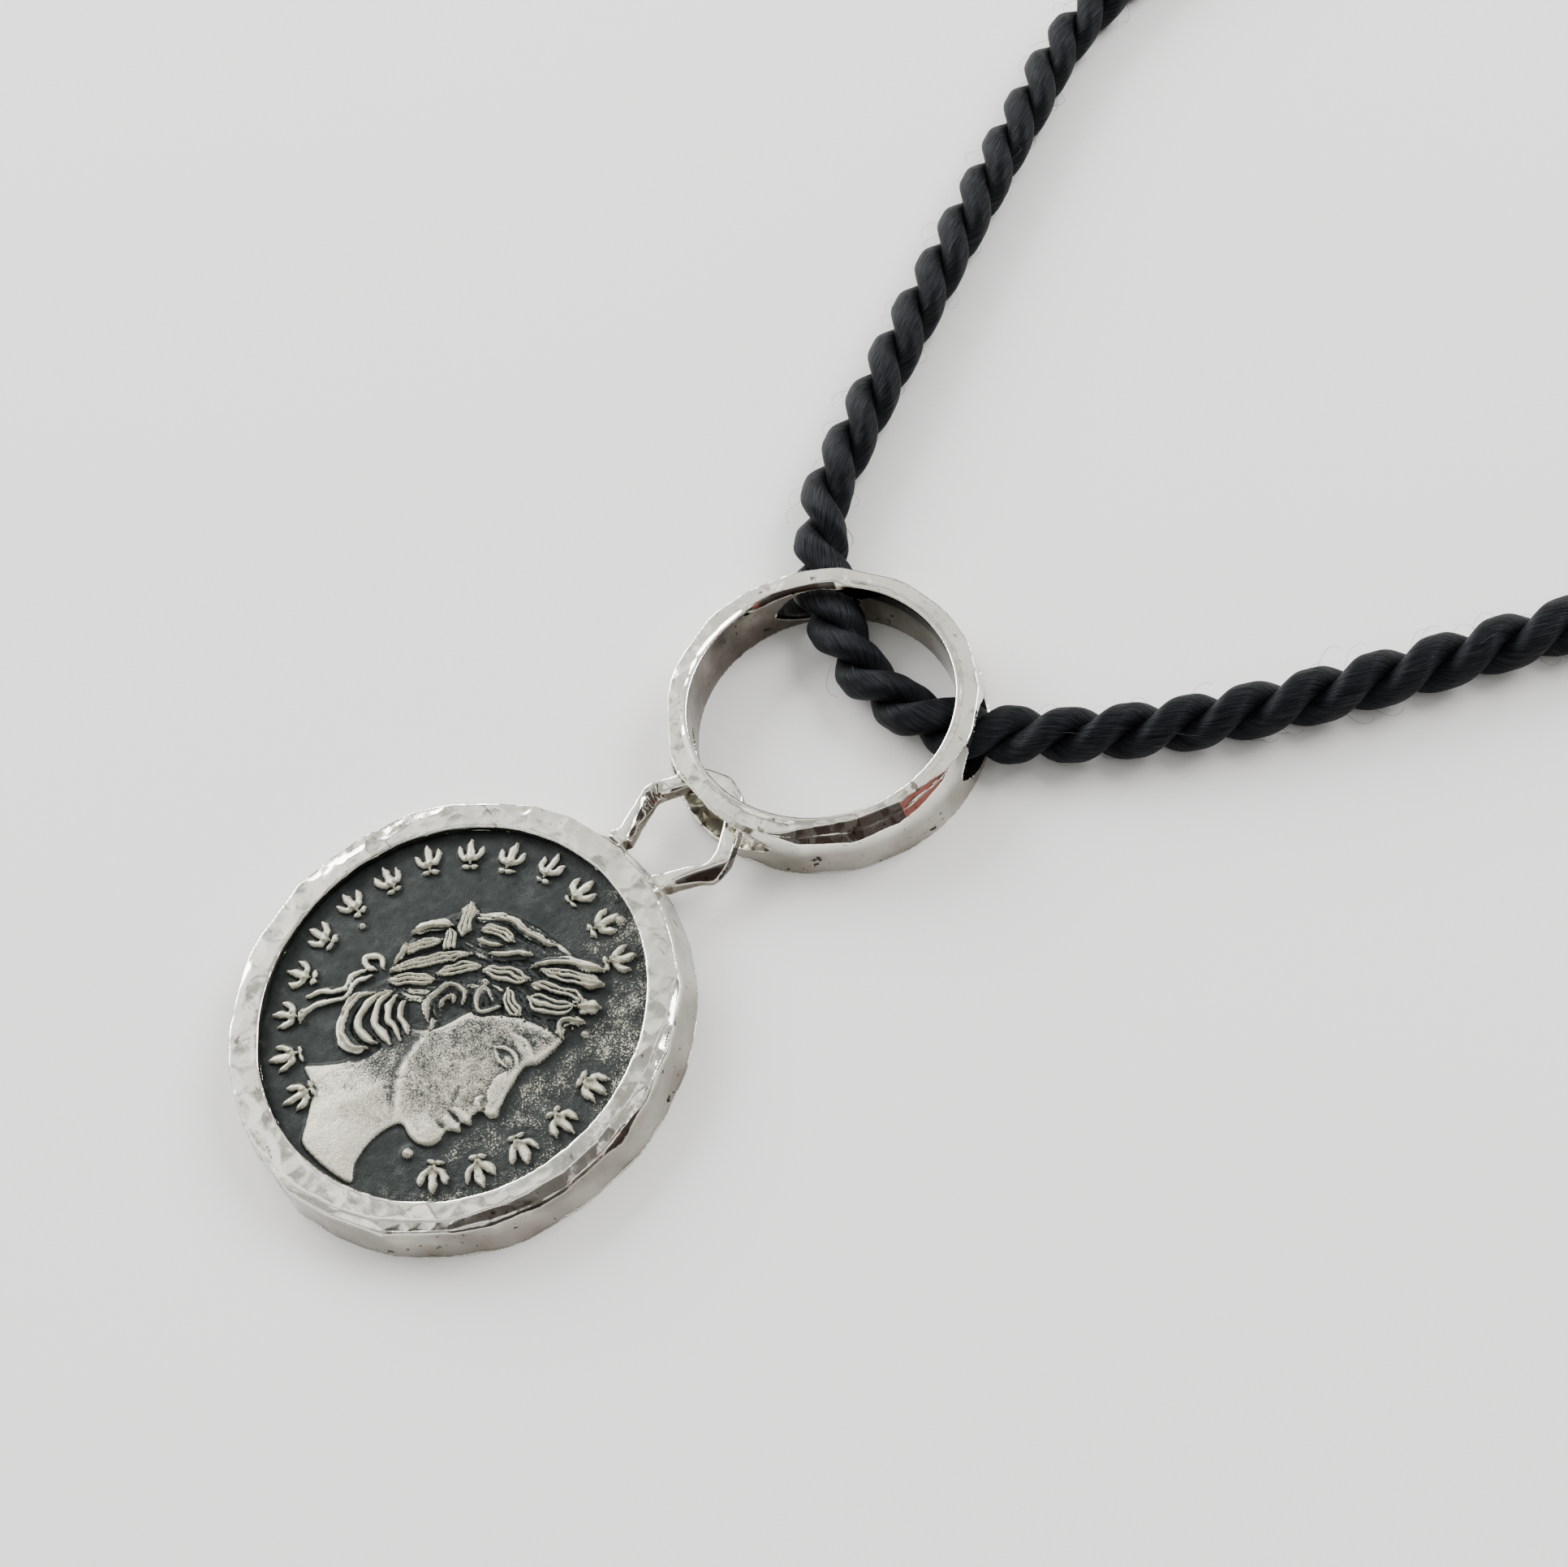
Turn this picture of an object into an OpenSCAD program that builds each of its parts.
// Coin pendant: a struck coin in a hammered silver setting, whose soldered link
// hangs in a slotted bail ring on a twisted silk cord with a barrel clasp.
// Millimetres, +Z up. It lies on its back at z = 0, with the bail ring towards +Y.
// The origin is under the middle of the setting and the bail ring together.

/* [Coin] */
// Diameter of the coin
coin_d = 29.6; // [29.2:0.1:29.8]
// Thickness of the coin between its fields
coin_t = 1.55; // [1.2:0.05:1.6]
// Height of the head's highest part above the field
head_h = 0.8; // [0.5:0.05:1]
// Height of the ornament round the border
border_h = 0.35; // [0.2:0.05:0.5]

/* [Setting] */
// Diameter of the setting across its rim
rim_d = 34; // [33.6:0.1:34.4]
// Diameter of the setting across its back
back_d = 35.4; // [34.8:0.1:36]
// Height of the setting
setting_h = 3.6; // [3.5:0.1:4]
// Diameter of the window that shows the coin
window_d = 29; // [28.4:0.1:29]
// Depth from the rim down to the coin's field
field_drop = 1; // [0.8:0.05:1.1]
// Diameter of the opening in the back
back_open_d = 26.4; // [24:0.1:27]

/* [Link] */
// Width of the link's flattened wire
wire_w = 1.4; // [1.1:0.1:1.5]
// Height of the link's flattened wire
wire_h = 1.4; // [1.1:0.1:1.5]

/* [Bail ring] */
// Inner diameter of the bail ring
bail_in_d = 20.5; // [20:0.1:20.8]
// Outer diameter of the bail ring across its top
bail_top_d = 24.2; // [24:0.1:24.6]
// Outer diameter of the bail ring across its back
bail_back_d = 25.4; // [25:0.1:25.8]
// Height of the bail ring
bail_h = 4.7; // [4.6:0.1:5]
// Height of each slot at its middle
slot_h = 3.65; // [3.5:0.05:3.7]
// Length of the slots that the cord runs through
cord_slot_l = 7; // [6.8:0.1:7.4]
// Length of the slot that the link hangs in
link_slot_l = 12.8; // [12.4:0.1:13]

/* [Cord and clasp] */
// Diameter of the twisted cord over its two strands
cord_d = 4.2; // [4:0.1:4.2]
// Diameter of the clasp's barrel
clasp_d = 4.8; // [4.6:0.1:5]
// Diameter of the clasp's end collars
collar_d = 5; // [4.8:0.1:5]

/* [Hidden] */

silver = [0.80, 0.79, 0.77];
patina = [0.36, 0.38, 0.37];
black_silk = [0.06, 0.06, 0.07];

fn_round = 96;
fn_fine = 48;

// Places along Y, with the middle of the two rings' outline at y = 0
ring_gap = 35.6;
span_y = back_d / 2 + ring_gap + bail_back_d / 2;
coin_y = back_d / 2 - span_y / 2;
bail_y = coin_y + ring_gap;

// Heights inside the setting
field_z = setting_h - field_drop;
seat_gap = 0.15;
lip_z = field_z + seat_gap;
seat_z = field_z - coin_t - seat_gap;
pocket_r = coin_d / 2 + 0.2;
// How deep raised pieces are rooted in what carries them
root = 0.3;

// Slots in the bail ring: compass angle in degrees, length, lean in degrees
slot_z = 2.35;
slots = [
  [269.5, link_slot_l, 0],
  [33.5, cord_slot_l, 6],
  [143, cord_slot_l, -4]
];

// Corners of the link's wire, from its left foot on the setting round to its right foot
link_route = [
  [-2.4, 1.3],
  [-3.6, 3.6],
  [-4, 6.2],
  [-3.3, 8.4],
  [-2, 10.1],
  [-0.3, 10.8],
  [1.2, 10.5],
  [2.9, 8.9],
  [4.1, 6.9],
  [4.3, 5.2],
  [3.1, 3],
  [2.3, 1.3]
];

// Middle of the cord from one end of the clasp round to the other
cord_route = [
  [-8, 198.5, 2.5],
  [-14.6, 196.8, 2.2],
  [-25, 190, 2.1],
  [-33.8, 178.5, 2.1],
  [-39.6, 162.5, 2.1],
  [-42.2, 144.5, 2.1],
  [-42.9, 126, 2.1],
  [-43, 110, 2.1],
  [-42.5, 96.5, 2.1],
  [-40.3, 84.5, 2.1],
  [-36.2, 75, 2.1],
  [-32, 66, 2.1],
  [-27.5, 56.5, 2.1],
  [-23, 47.2, 2.1],
  [-18.6, 38.6, 2.1],
  [-16.2, 34.2, 2.1],
  [-13, 30.9, 2.2],
  [-9.3, 28, 2.35],
  [-5, 26, 2.3],
  [-0.2, 24.8, 2.2],
  [4.5, 25.1, 2.3],
  [8.8, 26.8, 2.35],
  [12.2, 29.8, 2.2],
  [16.2, 34, 2.1],
  [20.4, 39.6, 2.1],
  [24.5, 46.4, 2.1],
  [28, 53, 2.1],
  [31.2, 59.5, 2.1],
  [34.6, 67, 2.1],
  [37.6, 78, 2.1],
  [39, 92, 2.1],
  [39.4, 108, 2.1],
  [39.4, 126, 2.1],
  [38.2, 144.5, 2.1],
  [35, 162.5, 2.1],
  [29.4, 178.5, 2.1],
  [21.6, 190, 2.1],
  [13.8, 196.4, 2.2],
  [7.5, 198.5, 2.5]
];
cord_sides = 10;
cord_steps = 2;
// Where the slots press the cord flat: radius from the bail's middle, half width, run out
press_r = (bail_in_d + bail_back_d) / 4;
press_half = 2;
press_run = 3.5;
press_flat = 0.42;

// Outline of the head and neck, chin to the right, in millimetres from the coin's middle
head_outline = [
  [-3.9, -10.6],
  [-2.2, -7.4],
  [-4.6, -7.2],
  [-6.4, -4.6],
  [-6.6, 0],
  [-6.4, 4],
  [-4.4, 7],
  [-1.4, 8.8],
  [2, 9.4],
  [5.2, 8.4],
  [7.2, 6.2],
  [7.9, 3.6],
  [8, 1.9],
  [7.5, 1],
  [8.3, -0.8],
  [9.3, -2.3],
  [8.9, -2.9],
  [8, -3.1],
  [8.2, -4.2],
  [7.8, -4.7],
  [8.1, -5.3],
  [7.5, -6],
  [7.7, -7.1],
  [6.8, -8],
  [5, -8.3],
  [4.6, -9.6],
  [5.1, -11.6],
  [5.8, -13],
  [3.2, -13.9],
  [0.6, -14.1],
  [-0.8, -12.4]
];

// Domes that swell the head: x, y, radius at the field, height
head_domes = [
  [0.6, 2.2, 8.6, 0.72],
  [4.2, -2.4, 5.4, head_h],
  [1.6, -9.4, 6.4, 0.62]
];

// Locks and leaves of the hair: x, y, turn in degrees, length, width, height
hair_leaves = [
  [-4.6, 4.6, 62, 4.2, 1.5, 0.95],
  [-2.6, 2.6, 48, 4.6, 1.6, 0.95],
  [-5.6, 1.4, 78, 3.8, 1.4, 0.85],
  [-4.3, -0.6, 60, 3.8, 1.4, 0.9],
  [-2, 6.4, 32, 4, 1.4, 0.9],
  [0.6, 4.6, 40, 4.4, 1.6, 0.95],
  [2.8, 7, 34, 4.4, 1.5, 0.9],
  [4.4, 5, 22, 4.4, 1.8, 0.95],
  [5.4, 8.2, 36, 4.2, 1.3, 0.7],
  [6.8, 6.2, 62, 3, 1.2, 0.7],
  [1.6, 2.4, 10, 3.6, 1.2, 0.9],
  [2.9, 3.9, 8, 3.4, 1.1, 0.9]
];

// Curved strands: x, y, radius, from angle, sweep, width, height
hair_strands = [
  [-3.2, -4.4, 2.9, 150, 190, 0.6, 0.95],
  [-2.9, -4.6, 2, 140, 190, 0.55, 0.95],
  [-2.6, -4.8, 1.1, 120, 210, 0.5, 0.95],
  [-0.6, 0.3, 1.3, 20, 250, 0.6, 0.95],
  [-3.8, -2.4, 2.2, 60, 90, 0.55, 0.9],
  [6.2, 1.2, 2.4, 55, 90, 0.5, 0.75]
];

// Loose ends of the ribbon behind the neck: x, y, radius, from angle, sweep, width, height
ribbons = [
  [-9.6, -4, 2.2, -40, 80, 0.45, 0.35],
  [-6.4, -6.6, 2.2, 140, 80, 0.45, 0.35],
  [-5.2, -4.6, 2.4, 140, 80, 0.45, 0.35],
  [-9.2, -7.4, 2.2, -40, 70, 0.45, 0.35]
];

// Border ornament: palmettes of three leaves on a foot, evenly spaced
palmette_n = 24;
palmette_r = 12.55;
leaf_l = 2;
leaf_w = 0.75;
leaf_lean = 32;
leaf_open = 0.55;
foot_l = 1.5;
foot_w = 0.5;
// Palmettes left out where the neck meets the edge and where the wreath's tip stands
palmette_gaps = [2, 3, 18, 19, 20];

// Curve through four points of a route, t from the second to the third
function between(a, b, c, d, t) =
  0.5 * (2 * b + (c - a) * t + (2 * a - 5 * b + 4 * c - d) * t * t
  + (3 * b - a - 3 * c + d) * t * t * t);

// Point of a route by number, carried on past both ends
function on_route(p, i) =
  i < 0 ? 2 * p[0] - p[1]
  : i >= len(p) ? 2 * p[len(p) - 1] - p[len(p) - 2]
  : p[i];

function unit(v) = v / norm(v);

cord_line = [
  for (i = [0 : len(cord_route) - 2])
    for (k = [0 : cord_steps - 1])
      between(
        on_route(cord_route, i - 1), cord_route[i],
        cord_route[i + 1], on_route(cord_route, i + 2),
        k / cord_steps
      ),
  cord_route[len(cord_route) - 1]
];

// Direction of the cord at a ring; both ends face the clasp squarely
function cord_way(i) =
  i == 0 || i == len(cord_line) - 1 ? [-1, 0, 0]
  : unit(cord_line[i + 1] - cord_line[i - 1]);

// How far a slot presses the cord flat at a point, from 0 to 1
function pressed(p) =
  let (off = abs(norm([p.x, p.y - bail_y]) - press_r))
  max(0, min(1, (press_half + press_run - off) / press_run));

// One ring of corners round the cord's middle
function cord_ring(i) =
  let (
    p = cord_line[i],
    way = cord_way(i),
    side = unit(cross([0, 0, 1], way)),
    up = cross(way, side),
    half_h = cord_d / 2 * (1 - press_flat * pressed(p))
  )
  [for (k = [0 : cord_sides - 1])
    let (a = 360 * k / cord_sides)
    p + side * (cord_d / 2 * cos(a)) + up * (half_h * sin(a))];

// Lens with pointed ends, long along X
module lens(l, w) {
  r = (l * l + w * w) / (4 * w);
  intersection() {
    translate([0, w / 2 - r]) circle(r, $fn = fn_round);
    translate([0, r - w / 2]) circle(r, $fn = fn_round);
  }
}

// Part of a flat ring, from one angle through a sweep
module arc_band(r, from, sweep, w, h) {
  rotate([0, 0, from])
    rotate_extrude(angle = sweep, $fn = fn_fine)
      translate([r - w / 2, 0]) square([w, h]);
}

// A stroke of flattened wire between two points seen from above
module stroke(a, b, w) {
  d = b - a;
  translate(a) rotate(atan2(d.y, d.x)) translate([0, -w / 2]) square([norm(d), w]);
  translate(b) circle(w / 2, $fn = fn_fine);
}

// Swelling of the head, cut to its outline
module head() {
  intersection() {
    translate([0, 0, -root]) linear_extrude(head_h + 2 * root) polygon(head_outline);
    for (d = head_domes) {
      r = (d[2] * d[2] + d[3] * d[3]) / (2 * d[3]);
      translate([d[0], d[1], d[3] - r]) sphere(r, $fn = 2 * fn_round);
    }
  }
}

module hair() {
  for (s = hair_leaves)
    translate([s[0], s[1], -root]) rotate(s[2]) linear_extrude(s[5] + root) lens(s[3], s[4]);
  for (s = hair_strands)
    translate([s[0], s[1], -root]) arc_band(s[2], s[3], s[4], s[5], s[6] + root);
}

module ribbon_ends() {
  for (s = ribbons)
    translate([s[0], s[1], -root]) arc_band(s[2], s[3], s[4], s[5], s[6] + root);
}

// Three leaves that fan outwards from a short foot
module palmette() {
  translate([0, 0, -root]) linear_extrude(border_h + root) {
    translate([leaf_open / 2, 0]) lens(leaf_l, leaf_w);
    for (side = [-1, 1])
      translate([0, side * leaf_open]) rotate(side * leaf_lean) lens(leaf_l, leaf_w);
    translate([-leaf_l / 2, 0]) rotate(90) lens(foot_l, foot_w);
  }
}

module border() {
  for (i = [0 : palmette_n - 1])
    if (len(search(i, palmette_gaps)) == 0)
      rotate(i * 360 / palmette_n + 4) translate([palmette_r, 0, 0]) palmette();
}

// The coin, with its head, hair, ribbons and border raised on one field
module coin() {
  color(patina) translate([0, coin_y, 0]) {
    translate([0, 0, field_z - coin_t]) cylinder(d = coin_d, h = coin_t, $fn = fn_round);
    translate([0, 0, field_z]) {
      head();
      hair();
      ribbon_ends();
      border();
    }
  }
}

// Flat link of hammered wire, soldered to the setting's wall
module link_loop() {
  translate([0, 0, slot_z - wire_h / 2])
    linear_extrude(wire_h)
      for (i = [0 : len(link_route) - 2])
        stroke(link_route[i], link_route[i + 1], wire_w);
}

// Setting: wall, turned-over lip, back seat and the soldered link in one piece
module setting() {
  color(silver) {
    translate([0, coin_y, 0])
      rotate_extrude($fn = fn_round)
        polygon([
          [back_open_d / 2, 0],
          [back_d / 2, 0],
          [rim_d / 2, setting_h],
          [window_d / 2, setting_h],
          [window_d / 2, lip_z],
          [pocket_r, lip_z],
          [pocket_r, seat_z],
          [back_open_d / 2, seat_z]
        ]);
    difference() {
      link_loop();
      translate([0, coin_y, 0]) cylinder(r = pocket_r + 2 * root, h = setting_h, $fn = fn_round);
    }
  }
}

// Bail ring with three pointed slots
module bail_ring() {
  color(silver) translate([0, bail_y, 0])
    difference() {
      rotate_extrude($fn = fn_round)
        polygon([
          [bail_in_d / 2, 0],
          [bail_back_d / 2, 0],
          [bail_top_d / 2, bail_h],
          [bail_in_d / 2, bail_h]
        ]);
      for (s = slots)
        rotate([0, 0, s[0] + 90]) translate([0, 0, slot_z]) rotate([90, 0, 0])
          linear_extrude(bail_back_d) rotate(s[2]) lens(s[1], slot_h);
    }
}

// Silk cord: a plain tube along its route, pressed flat in the two slots
module cord() {
  n = len(cord_line);
  m = cord_sides;
  color(black_silk) polyhedron(
    points = [for (i = [0 : n - 1]) for (p = cord_ring(i)) p],
    faces = [
      [for (k = [0 : m - 1]) k],
      for (i = [0 : n - 2]) for (k = [0 : m - 1])
        [i * m + k, (i + 1) * m + k, (i + 1) * m + (k + 1) % m, i * m + (k + 1) % m],
      [for (k = [m - 1 : -1 : 0]) (n - 1) * m + k]
    ],
    convexity = 8
  );
}

// Barrel clasp between the cord's two ends
module clasp() {
  left = cord_route[0];
  right = cord_route[len(cord_route) - 1];
  l = right.x - left.x;
  collar_l = 2.2;
  waist_w = 0.5;
  color(silver) translate(left) rotate([0, 90, 0])
    rotate_extrude($fn = fn_round)
      polygon([
        [0, 0],
        [collar_d / 2, 0],
        [collar_d / 2, collar_l],
        [clasp_d / 2 - 0.2, collar_l],
        [clasp_d / 2 - 0.2, collar_l + waist_w],
        [clasp_d / 2, collar_l + waist_w],
        [clasp_d / 2, l / 2 - waist_w / 2],
        [clasp_d / 2 - 0.3, l / 2 - waist_w / 2],
        [clasp_d / 2 - 0.3, l / 2 + waist_w / 2],
        [clasp_d / 2, l / 2 + waist_w / 2],
        [clasp_d / 2, l - collar_l - waist_w],
        [clasp_d / 2 - 0.2, l - collar_l - waist_w],
        [clasp_d / 2 - 0.2, l - collar_l],
        [collar_d / 2, l - collar_l],
        [collar_d / 2, l],
        [0, l]
      ]);
}

coin();
setting();
bail_ring();
cord();
clasp();
